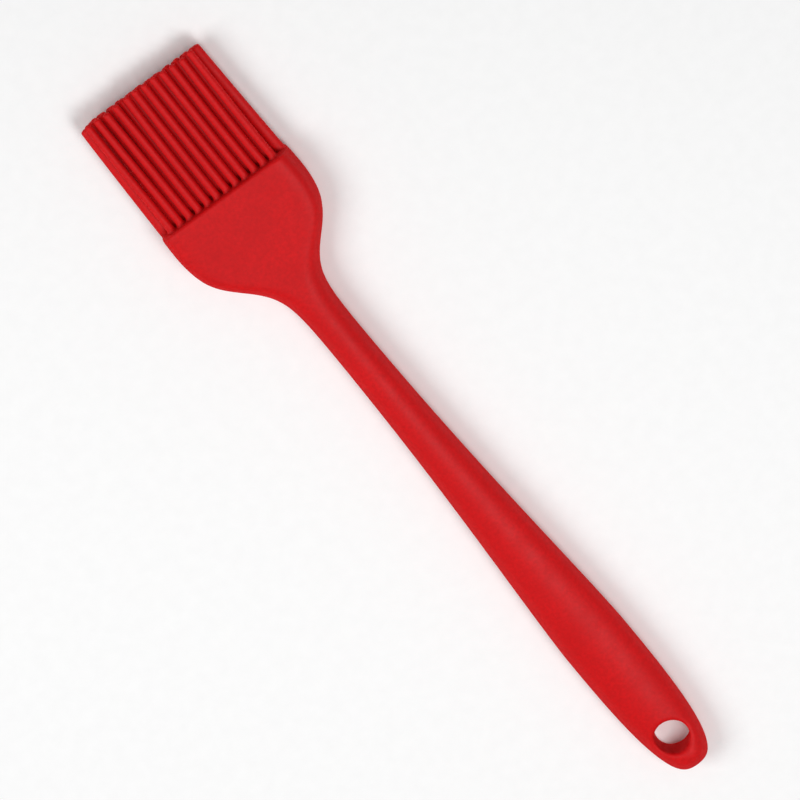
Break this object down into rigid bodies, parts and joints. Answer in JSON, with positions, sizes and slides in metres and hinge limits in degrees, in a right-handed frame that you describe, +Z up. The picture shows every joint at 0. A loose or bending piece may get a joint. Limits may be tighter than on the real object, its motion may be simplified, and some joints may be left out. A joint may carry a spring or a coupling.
{
  "type": "silicone pastry brush",
  "caption": "One-piece silicone pastry brush: flat head with three rows of thick round bristles, slim neck, swelling grip and a hanging hole in the tail.",
  "frame": {"origin": "on the surface below the brush, half way along its length and on its centre line, with the brush lying on its back", "axes": "+X across the head, +Y along the brush from the tail to the bristle tips, +Z up through its thickness, out of the front face"},
  "size_m": [0.036, 0.21, 0.0098],
  "materials": {
    "red_silicone": "matte moulded silicone with a fine spark-eroded grain",
    "core_nylon": "matte glass-filled nylon, hidden inside the silicone"
  },
  "bodies": {
    "handle": {"handle_skin": "red_silicone", "rigid_core": "core_nylon"},
    "front_row": {"bristle_front_01": "red_silicone", "bristle_front_02": "red_silicone", "bristle_front_03": "red_silicone", "bristle_front_04": "red_silicone", "bristle_front_05": "red_silicone", "bristle_front_06": "red_silicone", "bristle_front_07": "red_silicone", "bristle_front_08": "red_silicone", "bristle_front_09": "red_silicone", "bristle_front_10": "red_silicone", "bristle_front_11": "red_silicone", "bristle_front_12": "red_silicone"},
    "middle_row": {"bristle_middle_01": "red_silicone", "bristle_middle_02": "red_silicone", "bristle_middle_03": "red_silicone", "bristle_middle_04": "red_silicone", "bristle_middle_05": "red_silicone", "bristle_middle_06": "red_silicone", "bristle_middle_07": "red_silicone", "bristle_middle_08": "red_silicone", "bristle_middle_09": "red_silicone", "bristle_middle_10": "red_silicone", "bristle_middle_11": "red_silicone", "bristle_middle_12": "red_silicone", "bristle_middle_13": "red_silicone"},
    "back_row": {"bristle_back_01": "red_silicone", "bristle_back_02": "red_silicone", "bristle_back_03": "red_silicone", "bristle_back_04": "red_silicone", "bristle_back_05": "red_silicone", "bristle_back_06": "red_silicone", "bristle_back_07": "red_silicone", "bristle_back_08": "red_silicone", "bristle_back_09": "red_silicone", "bristle_back_10": "red_silicone", "bristle_back_11": "red_silicone", "bristle_back_12": "red_silicone"}
  },
  "joints": [
    {"name": "front_row_bend", "type": "hinge", "parent": "handle", "child": "front_row", "pos_m": [0, 0.07325, 0.00695], "axis": [1, 0, 0], "range_deg": [-35, 35], "stiffness_Nm_per_rad": 0.003},
    {"name": "middle_row_bend", "type": "hinge", "parent": "handle", "child": "middle_row", "pos_m": [0, 0.07325, 0.0049], "axis": [1, 0, 0], "range_deg": [-35, 35], "stiffness_Nm_per_rad": 0.003},
    {"name": "back_row_bend", "type": "hinge", "parent": "handle", "child": "back_row", "pos_m": [0, 0.07325, 0.00285], "axis": [1, 0, 0], "range_deg": [-35, 35], "stiffness_Nm_per_rad": 0.003}
  ],
  "couplings": [
    {"joint": "front_row_bend", "follows": "middle_row_bend", "ratio": 1},
    {"joint": "back_row_bend", "follows": "middle_row_bend", "ratio": 1}
  ]
}
